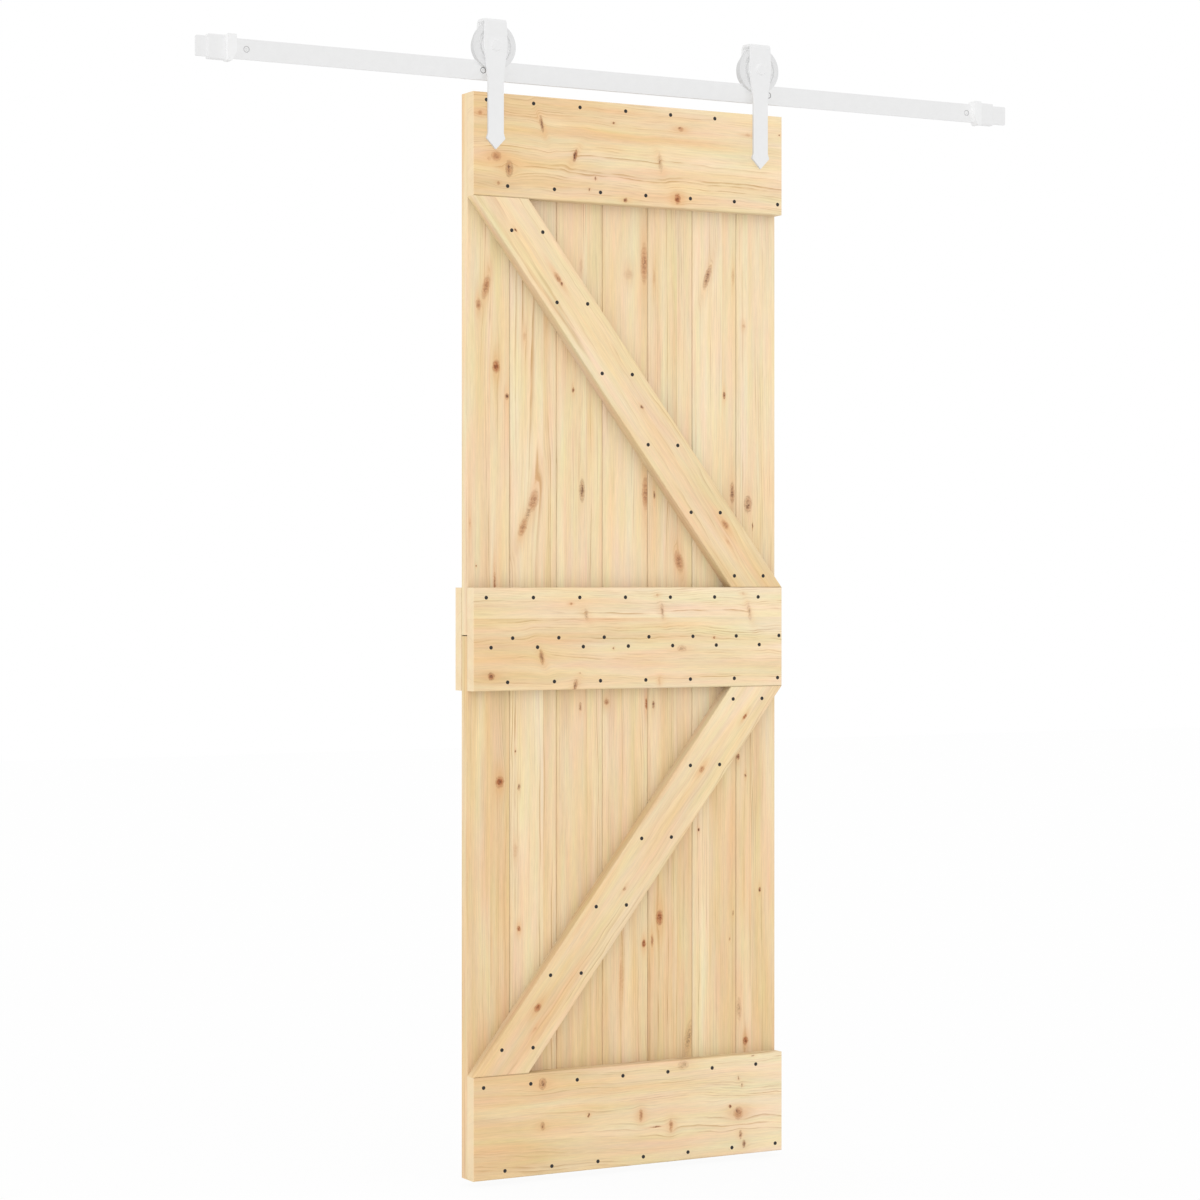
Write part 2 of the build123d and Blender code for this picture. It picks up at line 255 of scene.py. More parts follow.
def makeRingGroup():
    # Growth rings: distance from the log's heart over the ring width, as a saw tooth that
    # climbs slowly through the pale spring wood and drops at the dark autumn line, times one
    # strength a year, a slower one for bundles of years and one that fades along the board.
    shape = ringShape
    inputs = [("Place", "Vector"), ("Heart across", "Float"), ("Heart depth", "Float"),
              ("Lean", "Float"), ("Ring width", "Float"), ("Wander", "Float"), ("Breaks", "Float"),
              ("Seed", "Float")]
    tree, given, result = newGroup("growthRings", inputs, [("Autumn", "Float"), ("Band", "Float")])
    x, y, z = split(tree, given["Place"])
    seeded = join(tree, calc(tree, "ADD", x, given["Seed"]), y, calc(tree, "ADD", z, given["Seed"]))
    slow = cloud(tree, stretch(tree, seeded, shape["slowWander"]), detail=1.0)
    quick = cloud(tree, stretch(tree, seeded, shape["quickWander"]))
    quick = calc(tree, "MULTIPLY", calc(tree, "SUBTRACT", quick, 0.5), shape["quickShare"])
    drift = calc(tree, "ADD", calc(tree, "SUBTRACT", slow, 0.5), quick)
    drift = calc(tree, "MULTIPLY", drift, given["Wander"])
    across = calc(tree, "SUBTRACT", calc(tree, "ADD", y, drift), given["Heart across"])
    lean = calc(tree, "MULTIPLY", x, given["Lean"])
    across = calc(tree, "ADD", across, lean)
    depth = calc(tree, "SUBTRACT", calc(tree, "SUBTRACT", z, given["Heart depth"]), lean)
    acrossSquared = calc(tree, "MULTIPLY", across, across)
    squares = calc(tree, "ADD", acrossSquared, calc(tree, "MULTIPLY", depth, depth))
    years = calc(tree, "DIVIDE", calc(tree, "SQRT", squares), given["Ring width"])
    pace = calc(tree, "MULTIPLY", years, shape["unevenPace"])
    uneven = cloud(tree, join(tree, pace, given["Seed"], 0.0), detail=1.0)
    years = calc(tree, "ADD", years, calc(tree, "MULTIPLY", uneven, shape["uneven"]))
    phase = calc(tree, "FRACT", years)
    climb = calc(tree, "POWER", phase, shape["climb"])
    autumn = calc(tree, "MULTIPLY", climb, rise(tree, phase, *shape["drop"]))
    strength = tree.nodes.new("ShaderNodeTexWhiteNoise")
    strength.noise_dimensions = "2D"
    put(tree, join(tree, calc(tree, "FLOOR", years), given["Seed"], 0.0), strength.inputs["Vector"])
    yearly = calc(tree, "POWER", strength.outputs["Value"], shape["yearPower"])
    yearly = calc(tree, "MULTIPLY_ADD", yearly, *shape["year"])

    def byYears(pace, detail):
        # Noise that changes with the years and slowly along the board.
        point = join(tree, calc(tree, "MULTIPLY", years, pace[0]), given["Seed"],
                     calc(tree, "MULTIPLY", x, pace[1]))
        return cloud(tree, point, detail)

    bundle = rise(tree, byYears(shape["bundlePace"], 1.0), *shape["bundleEdges"])
    bundle = calc(tree, "MULTIPLY_ADD", bundle, *shape["bundle"])
    beside = split(tree, stretch(tree, seeded, (1.0, shape["fadeAcross"], shape["fadeAcross"])))
    broken = join(tree, calc(tree, "MULTIPLY", beside[0], given["Breaks"]), beside[1], beside[2])
    faded = rise(tree, cloud(tree, broken), *shape["fadeEdges"])
    faded = calc(tree, "MULTIPLY_ADD", faded, *shape["fade"])
    autumn = calc(tree, "MULTIPLY", calc(tree, "MULTIPLY", autumn, yearly), bundle)
    put(tree, calc(tree, "MULTIPLY", autumn, faded), result["Autumn"])
    put(tree, byYears(shape["bandPace"], 2.0), result["Band"])
    return tree


fibreShape = {                           # scales are per millimetre: along, across, through
    "coarse": (0.008, 0.55, 0.55),
    "middling": (0.035, 0.40, 0.40),
    "fine": (0.05, 2.6, 2.6),
    "coarseShare": 0.35,
    "middlingShare": 0.4,
    "fineShare": 0.25,
    "fleck": (0.11, 1.7, 1.7),
    "fleckEdges": (0.70, 0.80),
    "patch": (0.0032, 0.022, 0.022),
    "mottle": (0.22, 0.45, 0.45),
    "mottleEdges": (0.36, 0.64),
    "tint": (0.005, 0.045, 0.045),
    "tintReach": (0.24, 0.20, 0.34),     # in red, green and blue
    "tintFloor": (0.88, 0.90, 0.83),
}


def makeFibreGroup():
    # Fibres: noise drawn out along the grain, coarse, middling and fine, and short dark flecks.
    # Patch is slow and long, tint drifts in colour, and mottle is small and breaks up the knots.
    shape = fibreShape
    inputs = [("Place", "Vector"), ("Seed", "Float")]
    outputs = [("Fibre", "Float"), ("Fleck", "Float"), ("Patch", "Float"), ("Mottle", "Float"),
               ("Tint", "Color")]
    tree, given, result = newGroup("fibres", inputs, outputs)
    x, y, z = split(tree, given["Place"])
    seeded = join(tree, calc(tree, "ADD", x, given["Seed"]), y, calc(tree, "ADD", z, given["Seed"]))
    coarse = cloud(tree, stretch(tree, seeded, shape["coarse"]), detail=3.0, roughness=0.6)
    middling = cloud(tree, stretch(tree, seeded, shape["middling"]), roughness=0.6)
    fine = cloud(tree, stretch(tree, seeded, shape["fine"]), roughness=0.6)
    fibre = calc(tree, "MULTIPLY", coarse, shape["coarseShare"])
    fibre = calc(tree, "MULTIPLY_ADD", middling, shape["middlingShare"], fibre)
    put(tree, calc(tree, "MULTIPLY_ADD", fine, shape["fineShare"], fibre), result["Fibre"])
    fleck = cloud(tree, stretch(tree, seeded, shape["fleck"]), detail=1.0)
    put(tree, rise(tree, fleck, *shape["fleckEdges"]), result["Fleck"])
    put(tree, cloud(tree, stretch(tree, seeded, shape["patch"])), result["Patch"])
    mottle = cloud(tree, stretch(tree, seeded, shape["mottle"]), detail=3.0, roughness=0.65)
    put(tree, rise(tree, mottle, *shape["mottleEdges"]), result["Mottle"])
    tint = tree.nodes.new("ShaderNodeTexNoise")
    put(tree, stretch(tree, seeded, shape["tint"]), tint.inputs["Vector"])
    tint.inputs["Scale"].default_value = 1.0
    drift = tree.nodes.new("ShaderNodeVectorMath")
    drift.operation = "MULTIPLY_ADD"
    put(tree, tint.outputs["Color"], drift.inputs[0])
    drift.inputs[1].default_value = shape["tintReach"]
    drift.inputs[2].default_value = shape["tintFloor"]
    put(tree, drift.outputs[0], result["Tint"])
    return tree


pineTones = {
    "spring": srgb(248, 221, 178),       # pale wood between the autumn lines
    "autumn": srgb(208, 166, 112),       # the lines themselves
    "tan": srgb(238, 203, 152),          # darker bands of heartwood
    "cream": srgb(252, 231, 192),        # lighter bands of sapwood
    "glow": srgb(230, 170, 108),         # resin-tinted wood around a knot
    "paintedBounceTone": (0.30, 0.30, 0.30, 1.0),   # painted shade: a grey that neighbouring pieces mostly get back from the wood in place of its colour
    "paintedLedgeShade": (0.02, 0.02, 0.02, 1.0),    # painted shade: near black that neighbours get back from faces that look up, darkening the boards above ledges
    "red": srgb(190, 106, 46),           # a sound knot
    "dark": srgb(88, 50, 22),            # bark ring and heart of a knot
}

pineMix = {                              # pairs are gain and offset, or from and to
    "patch": (2.0, -1.0),                # warmth that the slow patches give
    "band": (2.6, -1.3),                 # and the bundles of years
    "springEdges": (-1.0, 0.1),          # warmth over which cream turns into spring wood
    "tanEdges": (-0.1, 1.2),             # and that into tan
    "streak": (0.50, 0.75),
    "fleckShare": 0.22,
    "Red": (0.5, 0.65),                  # how the mottle breaks up a knot's masks
    "Dark": (1.2, 0.35),
    "endShare": 0.6,
    "rough": (0.16, 0.50),
    "knotPolish": 0.12,
    "lineHeight": 0.5,
    "fibreHeight": 0.6,
    "knotDepth": 0.5,
}


def makePineGroup(tones):
    # Mixes the masks into the colour, roughness and height of planed pine.
    mix = pineMix
    inputs = [("Autumn", "Float"), ("Band", "Float"), ("Fibre", "Float"), ("Fleck", "Float"),
              ("Patch", "Float"), ("Mottle", "Float"), ("Tint", "Color"), ("Red", "Float"),
              ("Dark", "Float"), ("Glow", "Float"), ("Contrast", "Float"), ("Warmth", "Float"),
              ("End", "Float")]
    outputs = [("Colour", "Color"), ("Roughness", "Float"), ("Height", "Float")]
    tree, given, result = newGroup("planedPine", inputs, outputs)
    warm = calc(tree, "ADD", calc(tree, "MULTIPLY_ADD", given["Patch"], *mix["patch"]), given["Warmth"])
    warm = calc(tree, "ADD", warm, calc(tree, "MULTIPLY_ADD", given["Band"], *mix["band"]))
    base = blendColour(tree, rise(tree, warm, *mix["springEdges"]), tones["cream"], tones["spring"])
    base = blendColour(tree, rise(tree, warm, *mix["tanEdges"]), base, tones["tan"])
    lines = calc(tree, "MULTIPLY", given["Autumn"], given["Contrast"], clamp=True)
    base = blendColour(tree, lines, base, tones["autumn"])
    streak = greyOf(tree, calc(tree, "MULTIPLY_ADD", given["Fibre"], *mix["streak"]))
    base = blendColour(tree, 1.0, base, streak, "MULTIPLY")
    base = blendColour(tree, 1.0, base, given["Tint"], "MULTIPLY")
    flecks = calc(tree, "MULTIPLY", given["Fleck"], mix["fleckShare"])
    base = blendColour(tree, flecks, base, tones["autumn"])
    base = blendColour(tree, given["Glow"], base, tones["glow"])
    for label, tone in (("Red", "red"), ("Dark", "dark")):
        broken = calc(tree, "MULTIPLY_ADD", given["Mottle"], *mix[label])
        share = calc(tree, "MULTIPLY", given[label], broken, clamp=True)
        base = blendColour(tree, share, base, tones[tone])
    endGrain = calc(tree, "MULTIPLY", given["End"], mix["endShare"])
    put(tree, blendColour(tree, endGrain, base, tones["cream"]), result["Colour"])
    rough = calc(tree, "MULTIPLY_ADD", given["Fibre"], *mix["rough"])
    polish = calc(tree, "MULTIPLY", given["Red"], mix["knotPolish"])
    put(tree, calc(tree, "SUBTRACT", rough, polish), result["Roughness"])
    fibres = calc(tree, "MULTIPLY", given["Fibre"], mix["fibreHeight"])
    height = calc(tree, "MULTIPLY_ADD", given["Autumn"], mix["lineHeight"], fibres)
    sunk = calc(tree, "MULTIPLY", given["Dark"], mix["knotDepth"])
    put(tree, calc(tree, "SUBTRACT", height, sunk), result["Height"])
    return tree


knotGroup = makeKnotGroup()
ringGroup = makeRingGroup()
fibreGroup = makeFibreGroup()
pineGroup = makePineGroup(pineTones)

# A knot is (kind, from the leaf's left edge, above its foot, wide, high, slope), in millimetres.
knotKinds = {
    "red": dict(red=0.95, dark=0.50, glow=0.60, bend=0.75),
    "rosy": dict(red=0.52, dark=0.30, glow=0.50, bend=0.8),
    "brown": dict(red=0.45, dark=0.65, glow=0.30, bend=0.8),
    "faded": dict(red=0.20, dark=0.34, glow=0.22, bend=0.3),
    "dark": dict(red=0.85, dark=1.0, glow=0.42, bend=0.8),
    "pale": dict(red=0.18, dark=0.06, glow=0.34, bend=0.5),
}


boardValues = {
    "edgeScale": 0.16,                   # noise, per millimetre, that makes knots uneven
    "edgeDetail": 4.0,
    "edgeRoughness": 0.68,
    "edgeReach": (9, 5, 0),              # its reach in millimetres along, across and through
    "secondSeed": 37.0,                  # from the first stave's seed to the second's
    "endEdges": (0.55, 0.95),            # how far a face turns up to get the painted ledge shade
    "upEdges": (0.2, 0.9),               # how far it turns up to be a ledge
    "paintedBounceShare": 0.62,                 # how much of the painted bounce tones, which are painted shade, neighbours get back
    "bumpStrength": 0.5,
    "bumpDepth": 0.25,                   # millimetres
}


def boardAxes(grain):
    # Directions along the grain, across the face and through the board.
    along = Vector((grain[0], 0, grain[1])).normalized()
    through = Vector((0, -1, 0)) if grain[0] else Vector((0, 1, 0))
    return along, through.cross(along), through


def boardPlace(tree, point, centre, axes):
    # The place on the board in its own millimetres, from its middle.
    local = tree.nodes.new("ShaderNodeMapping")
    local.vector_type = "TEXTURE"
    local.inputs["Location"].default_value = centre
    local.inputs["Rotation"].default_value = Matrix(axes).transposed().to_euler()
    local.inputs["Scale"].default_value = (mm, mm, mm)
    tree.links.new(point, local.inputs["Vector"])
    return local.outputs[0]


def unevenPlace(tree, place):
    # The place plus noise times its reach, less half the reach.
    ragged = tree.nodes.new("ShaderNodeTexNoise")
    ragged.inputs["Scale"].default_value = boardValues["edgeScale"]
    ragged.inputs["Detail"].default_value = boardValues["edgeDetail"]
    ragged.inputs["Roughness"].default_value = boardValues["edgeRoughness"]
    tree.links.new(place, ragged.inputs["Vector"])
    offset = tree.nodes.new("ShaderNodeVectorMath")
    offset.operation = "SUBTRACT"
    tree.links.new(place, offset.inputs[0])
    offset.inputs[1].default_value = [part / 2 for part in boardValues["edgeReach"]]
    moved = tree.nodes.new("ShaderNodeVectorMath")
    moved.operation = "MULTIPLY_ADD"
    tree.links.new(ragged.outputs["Color"], moved.inputs[0])
    moved.inputs[1].default_value = boardValues["edgeReach"]
    tree.links.new(offset.outputs[0], moved.inputs[2])
    return moved.outputs[0]


def knotMasks(tree, place, knots, centre, axes):
    # One knot group after another: each adds its push and keeps the stronger of each mask.
    along, across, _ = axes
    upright = abs(along.z) > abs(along.x)
    sums = {"Shift": 0.0, "Red": 0.0, "Dark": 0.0, "Glow": 0.0}
    for kind, x, z, wide, tall, tilt in knots:
        point = Vector((leafLeft + x * mm, centre.y, leafFoot + z * mm)) - centre
        values = knotKinds[kind]
        sums = useGroup(
            tree, knotGroup, Place=place, Along=point.dot(along) / mm, Across=point.dot(across) / mm,
            Half_length=(tall if upright else wide) / 2, Half_width=(wide if upright else tall) / 2,
            Slope=tilt, Red=values["red"], Dark=values["dark"], Glow=values["glow"],
            Bend=values["bend"], Shift_in=sums["Shift"], Red_in=sums["Red"],
            Dark_in=sums["Dark"], Glow_in=sums["Glow"])
    return sums


def wood(name, grain, knots, heart=(-60, 45), lean=0.0, ring=3.2, wander=14, seed=1.0,
         breaks=0.006, contrast=0.55, warmth=0.0, slope=0.0, glued=None, second=None):
    # Pine for one board. grain is the direction along it in the leaf's plane, (right, up),
    # slope is how fast the warmth grows that way, and breaks is how often a line fades. glued is
    # the place across the board where two staves meet; second are the second's values.
    low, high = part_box(name)
    centre = (low + high) / 2
    axes = boardAxes(grain)
    material, tree, shader = newMaterial("pine_" + name)
    here = tree.nodes.new("ShaderNodeTexCoord").outputs
    place = boardPlace(tree, here["Object"], centre, axes)
    sums = knotMasks(tree, unevenPlace(tree, place), knots, centre, axes)
    x, y, z = split(tree, place)
    pushed = calc(tree, "ADD", y, sums["Shift"])
    heartAcross, warmNow, seedNow = heart[0], warmth, seed
    if glued is not None:
        side = calc(tree, "GREATER_THAN", y, glued)
        heartAcross = calc(tree, "MULTIPLY_ADD", side, second["heart"] - heart[0], heart[0])
        seedNow = calc(tree, "MULTIPLY_ADD", side, boardValues["secondSeed"], seed)
        warmNow = calc(tree, "MULTIPLY_ADD", side, second["warmth"] - warmth, warmth)
    warmNow = calc(tree, "MULTIPLY_ADD", x, slope, warmNow)
    bent = join(tree, x, pushed, z)
    rings = useGroup(tree, ringGroup, Place=bent, Heart_across=heartAcross, Heart_depth=heart[1],
                     Lean=lean, Ring_width=ring, Wander=wander, Breaks=breaks, Seed=seedNow)
    fibres = useGroup(tree, fibreGroup, Place=bent, Seed=seedNow)
    facing = tree.nodes.new("ShaderNodeVectorMath")
    facing.operation = "DOT_PRODUCT"
    tree.links.new(here["Normal"], facing.inputs[0])
    facing.inputs[1].default_value = axes[0]
    end = rise(tree, calc(tree, "ABSOLUTE", facing.outputs["Value"]), *boardValues["endEdges"])
    masks = {label: rings[label] for label in ("Autumn", "Band")}
    masks.update((label, fibres[label]) for label in ("Fibre", "Fleck", "Patch", "Mottle", "Tint"))
    masks.update((label, sums[label]) for label in ("Red", "Dark", "Glow"))
    pine = useGroup(tree, pineGroup, Contrast=contrast, Warmth=warmNow, End=end, **masks)
    # Painted shade: light that leaves the wood for a neighbour takes a grey in place of the pine, near
    # black from faces that look up, so corners and the boards above the rails come out darker.
    paintedLedgeShade = rise(tree, split(tree, here["Normal"])[2], *boardValues["upEdges"])
    paintedShadeTone = blendColour(tree, paintedLedgeShade, pineTones["paintedBounceTone"], pineTones["paintedLedgeShade"])
    paintedBounceMix = calc(tree, "MULTIPLY", scatteredRays(tree), boardValues["paintedBounceShare"])
    put(tree, blendColour(tree, paintedBounceMix, pine["Colour"], paintedShadeTone), shader.inputs["Base Color"])
    tree.links.new(pine["Roughness"], shader.inputs["Roughness"])
    bumped(tree, shader, pine["Height"], boardValues["bumpStrength"], boardValues["bumpDepth"])
    dress(name, material)


# Boards behind the rails. glued is measured across, in millimetres from the board's middle.
boardKnots = [
    ("rosy", 40.5, 1726, 15, 42, 0.2), ("rosy", 24.5, 1693, 11, 20, 0),
    ("red", 62.5, 1573, 15, 24, 0), ("brown", 86.5, 1516, 9, 12, 0),
    ("dark", 166.5, 1706, 5, 10, 0), ("pale", 125.5, 1634, 8, 17, 0),
    ("pale", 250.5, 1778, 7, 26, 0), ("pale", 358.5, 1766, 22, 20, 0),
    ("rosy", 393.5, 1789, 15, 72, 0), ("pale", 416.5, 1760, 6, 30, 0),
    ("brown", 539.5, 1768, 13, 44, 0.3), ("pale", 600.5, 1773, 6, 34, 0),
    ("pale", 625.5, 1674, 8, 8, 0), ("rosy", 144.5, 1314, 20, 40, 0.2),
    ("faded", 132.5, 1288, 12, 40, 0.35), ("rosy", 121.5, 1262, 16, 34, 0.3),
    ("dark", 232.5, 1533, 5, 10, 0), ("brown", 252.5, 1335, 12, 42, 0),
    ("dark", 345.5, 1470, 6, 7, 0), ("rosy", 396.5, 1332, 15, 60, 0),
    ("brown", 416.5, 1328, 5, 16, 0), ("dark", 579.5, 1532, 6, 13, 0),
    ("brown", 598.5, 1335, 10, 40, 0), ("brown", 635.5, 1312, 17, 32, 0),
    ("pale", 5.5, 1270, 5, 18, 0), ("dark", 19.5, 1186, 3, 3, 0),
    ("rosy", 59.5, 1153, 5, 40, 0), ("rosy", 473.5, 1196, 19, 38, -0.2),
    ("dark", 646.5, 1267, 2.5, 15, 0), ("red", 70.5, 766, 17, 21, 0),
    ("dark", 104.5, 825, 3, 6, 0), ("brown", 112.5, 755, 6, 13, 0),
    ("brown", 248.5, 909, 6, 15, 0), ("rosy", 307.5, 918, 12, 12, 0),
    ("red", 398.5, 912, 6, 20, 0), ("brown", 414.5, 910, 6, 15, 0),
    ("dark", 612.5, 800, 7, 11, 0), ("brown", 629.5, 762, 5, 7, 0),
    ("brown", 306.5, 578, 10, 12, 0), ("red", 428.5, 484, 15, 28, 0),
    ("dark", 519.5, 656, 4, 6, 0), ("dark", 663.5, 529, 5, 10, 0),
    ("brown", 600.5, 484, 3, 10, 0), ("red", 112.5, 479, 8, 10, 0),
    ("pale", 104.5, 632, 9, 25, 0), ("red", 392.5, 434, 9, 14, 0),
    ("rosy", 411.5, 439, 6, 24, 0), ("faded", 496.5, 240, 20, 70, 0.2),
    ("brown", 592.5, 433, 3, 6, 0), ("red", 629.5, 224, 12, 16, 0),
    ("faded", 614.5, 290, 11, 44, 0), ("pale", 341.5, 370, 10, 56, 0),
]
boards = {
    "upper_board_1": dict(heart=(-70, 40), ring=3.4, seed=3.0, warmth=0.05, contrast=0.75,
                          glued=0.7, second=dict(heart=120, warmth=0.1)),
    "upper_board_2": dict(heart=(10, 38), ring=4.4, lean=0.010, seed=11.0, warmth=-0.4, contrast=0.85,
                          glued=19.0, second=dict(heart=-60, warmth=0.1)),
    "upper_board_3": dict(heart=(90, 40), ring=3.0, seed=23.0, warmth=0.0, contrast=0.7,
                          glued=14.0, second=dict(heart=-50, warmth=0.3)),
    "upper_board_4": dict(heart=(-30, 42), ring=4.0, lean=-0.008, seed=31.0, warmth=-0.2, contrast=0.95,
                          glued=34.0, second=dict(heart=90, warmth=0.2)),
    "upper_board_5": dict(heart=(80, 36), ring=3.3, seed=43.0, warmth=0.1, contrast=0.8,
                          glued=13.0, second=dict(heart=-70, warmth=0.0)),
    "upper_board_6": dict(heart=(-90, 44), ring=3.6, seed=59.0, warmth=-0.5, contrast=0.6,
                          glued=15.0, second=dict(heart=60, warmth=0.2)),
    "upper_board_7": dict(heart=(30, 40), ring=4.2, lean=0.006, seed=67.0, warmth=-0.3, contrast=0.6,
                          glued=-19.0, second=dict(heart=-80, warmth=-0.3)),
    "lower_board_1": dict(heart=(-80, 40), ring=3.2, seed=73.0, warmth=0.8, contrast=0.9,
                          glued=0.7, second=dict(heart=150, warmth=1.0)),
    "lower_board_2": dict(heart=(70, 38), ring=4.6, lean=-0.006, seed=83.0, warmth=0.0, slope=-0.0006,
                          contrast=0.95, glued=19.0, second=dict(heart=-60, warmth=0.4)),
    "lower_board_3": dict(heart=(100, 42), ring=3.2, seed=97.0, warmth=0.6, slope=-0.0005, contrast=0.75,
                          glued=14.0, second=dict(heart=-90, warmth=0.6)),
    "lower_board_4": dict(heart=(20, 40), ring=3.6, lean=0.005, seed=101.0, warmth=0.4, slope=-0.0005,
                          contrast=0.85, glued=-11.0, second=dict(heart=80, warmth=0.5)),
    "lower_board_5": dict(heart=(-60, 44), ring=3.2, seed=113.0, warmth=0.6, slope=-0.0004, contrast=1.2,
                          glued=13.0, second=dict(heart=50, warmth=0.7)),
    "lower_board_6": dict(heart=(110, 38), ring=3.6, seed=127.0, warmth=-0.2, contrast=1.0,
                          glued=-15.0, second=dict(heart=-40, warmth=0.6)),
    "lower_board_7": dict(heart=(-50, 40), ring=3.6, seed=139.0, warmth=0.4, contrast=0.85,
                          glued=-10.0, second=dict(heart=90, warmth=0.5)),
}
for name, values in boards.items():
    low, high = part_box(name)
    own = [knot for knot in boardKnots
           if low.x < leafLeft + knot[1] * mm < high.x and low.z < leafFoot + knot[2] * mm < high.z]
    wood(name, (0, 1), own, **values)

# Rails and the batten behind.
topRail = {
    "knots": [
        ("brown", 148, 2046, 9, 26, -1.8), ("dark", 308, 2060, 4, 5, 0),
        ("rosy", 462, 2058, 13, 9, 0), ("dark", 459, 2060, 4, 4, 0),
        ("dark", 222, 1990, 9, 20, 1.2), ("faded", 414, 1988, 10, 34, -1.6),
        ("brown", 77, 1955, 15, 30, 0), ("brown", 54, 1926, 6, 8, 0),
        ("brown", 267, 1948, 4, 8, 0), ("brown", 254, 1925, 3, 6, 0),
        ("dark", 335, 1909, 9, 8, 0), ("red", 454, 1919, 12, 20, 0),
        ("pale", 619, 2057, 14, 6, 0), ("dark", 693, 2062, 3, 3, 0),
        ("rosy", 14, 2059, 9, 9, 0), ("rosy", 49, 1978, 20, 18, 0),
        ("pale", 33, 1972, 9, 9, 0)],
    "finish": dict(heart=(-150, 40), ring=5.2, lean=0.004, wander=36, seed=7.0, breaks=0.016, contrast=0.8,
                   warmth=0.3, slope=-0.0020),
}
middleRail = {
    "knots": [
        ("faded", 247, 1091, 9, 20, -0.8), ("rosy", 213, 1112, 5, 5, 0),
        ("faded", 419, 1096, 8, 28, -1.5), ("pale", 407, 1129, 6, 7, 0),
        ("faded", 622, 1095, 9, 28, -1.8), ("pale", 607, 1131, 7, 6, 0),
        ("dark", 539, 1043, 4, 5, 0), ("brown", 308, 1024, 3, 5, 0),
        ("faded", 464, 1022, 20, 12, 0), ("brown", 148, 1009, 9, 26, -1.2),
        ("dark", 38, 972, 14, 14, 0), ("brown", 222, 952, 10, 20, 1.0),
        ("pale", 413, 958, 5, 17, 0), ("brown", 232, 976, 3, 3, 0)],
    "finish": dict(heart=(90, 50), ring=4.8, lean=-0.010, wander=40, seed=17.0, breaks=0.016,
                   contrast=0.75, warmth=0.3, slope=-0.0020,
                   glued=40.0, second=dict(heart=-60, warmth=-0.5)),
}
bottomRail = {
    "knots": [
        ("brown", 150, 178, 15, 22, 0), ("brown", 150, 95, 9, 15, 0),
        ("dark", 252, 108, 4, 8, 0), ("rosy", 370, 98, 8, 24, 0), ("rosy", 439, 71, 8, 24, 0),
        ("dark", 404, 72, 22, 3, 0), ("faded", 467, 190, 24, 17, 0),
        ("brown", 596, 154, 3, 8, 0), ("brown", 605, 140, 3, 8, 0),
        ("dark", 576, 99, 5, 7, 0), ("rosy", 596, 84, 20, 24, 0),
        ("brown", 592, 88, 7, 12, -0.3), ("brown", 601, 40, 7, 17, 0),
        ("brown", 609, 21, 8, 16, 0), ("brown", 630, 197, 6, 3, 0)],
    "finish": dict(heart=(-120, 50), ring=5.0, lean=0.010, wander=40, seed=29.0, breaks=0.016,
                   contrast=0.8, warmth=0.15, slope=-0.0026),
}
backRail = {
    "knots": [
        ("red", 96, 1010, 14, 18, 0), ("brown", 268, 1078, 8, 12, 0),
        ("rosy", 455, 1034, 12, 22, 0), ("dark", 580, 1098, 5, 9, 0),
        ("brown", 636, 982, 9, 12, 0)],
    "finish": dict(heart=(-40, 56), ring=4.8, lean=0.010, wander=40, seed=53.0, breaks=0.016,
                   contrast=0.9, warmth=0.3),
}
rails = {"top_rail": topRail, "middle_rail": middleRail, "bottom_rail": bottomRail, "back_rail": backRail}
for name, rail in rails.items():
    wood(name, (1, 0), rail["knots"], **rail["finish"])

# Braces, with the grain along them.
brace = {
    "endWidth": 120 * mm,                # length of each level end
    "upperKnots": [("dark", 91, 1837, 4, 7, 0), ("rosy", 184, 1748, 9, 26, 0),
                   ("dark", 192, 1737, 5, 9, 0), ("brown", 372, 1501, 6, 8, 0),
                   ("rosy", 565, 1270, 12, 20, 0), ("pale", 571, 1236, 6, 12, 0)],
    "upperFinish": dict(heart=(-36, 58), ring=6.0, lean=0.008, wander=40, seed=37.0,
                        contrast=0.6, warmth=0.35, slope=0.0008),
    "lowerKnots": [("red", 611, 883, 6, 12, 0), ("rosy", 510, 780, 10, 14, 0),
                   ("brown", 333, 549, 6, 9, 0), ("red", 139, 326, 12, 18, 0),
                   ("pale", 134, 286, 6, 12, 0)],
    "lowerFinish": dict(heart=(28, 54), ring=6.0, lean=-0.008, wander=40, seed=47.0,
                        contrast=0.65, warmth=0.45, slope=-0.0008),
}


def braceGrain(name, sign):
    # From one level end's middle to the other's; sign is -1 where it falls to the right.
    low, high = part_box(name)
    return high.x - low.x - brace["endWidth"], sign * (high.z - low.z)


bracePieces = (("upper_brace", -1, "upperKnots", "upperFinish"),
               ("lower_brace", 1, "lowerKnots", "lowerFinish"))
for name, sign, knots, finish in bracePieces:
    wood(name, braceGrain(name, sign), brace[knots], **brace[finish])
print("stage: pine on", len(boards) + len(rails) + len(bracePieces), "boards")


# White powder coat on the steel, dark steel for the nails and a soft white plastic.

coatValues = {
    "peelScale": 900.0,                  # per metre
    "wideScale": 60.0,
    "tone": (0.05, 0.975),               # gain and offset of the wide noise in the tone
    "gloss": (0.12, -0.06),              # and in the roughness
    "clearRoughness": 0.25,
    "paintedSideEdges": (0.8, 0.4),           # how far a face turns from the front to get the painted side shade
    "bumpStrength": 0.35,
    "bumpDepth": 0.08,                   # millimetres
    "paintedBounceTone": (0.99, 0.99, 0.99, 1.0),   # painted light: a near white that neighbouring pieces get back from a coat in place of its colour
    "paintedBounceShare": 0.95,
    "none": (0.0, 0.0, 0.0, 1.0),
    "paintedGlow": (0.14, 0.14, 0.14, 1.0),     # painted glow that neighbours get from a coat, standing in for light between close pieces after many reflections
}


